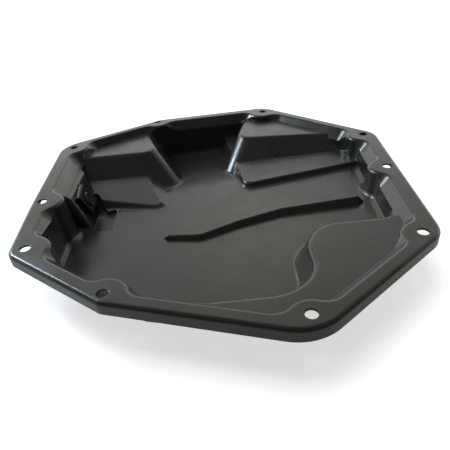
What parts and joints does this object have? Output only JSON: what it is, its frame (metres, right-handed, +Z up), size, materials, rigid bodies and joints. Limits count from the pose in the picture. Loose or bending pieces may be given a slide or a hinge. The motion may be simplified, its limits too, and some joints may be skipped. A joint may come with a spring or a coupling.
{
  "type": "engine oil pan",
  "caption": "Shallow pressed-steel engine oil pan, painted black, with a scalloped bolting flange, stepped floor, baffle bead and a side drain plug.",
  "frame": {"origin": "middle of the flange outline, on the flange's upper face where the gasket lies", "axes": "+Z up out of the open tray towards the engine block, +Y to the side with the two raised bumps, +X away from the drain boss"},
  "size_m": [0.2868, 0.3155, 0.0389],
  "materials": {
    "pan_paint": "satin",
    "nut_paint": "satin",
    "plug_steel": "satin",
    "washer_metal": "satin"
  },
  "bodies": {
    "root": {"pan_shell": "pan_paint", "drain_nut": "nut_paint", "drain_plug": "plug_steel", "drain_washer": "washer_metal"}
  },
  "joints": []
}
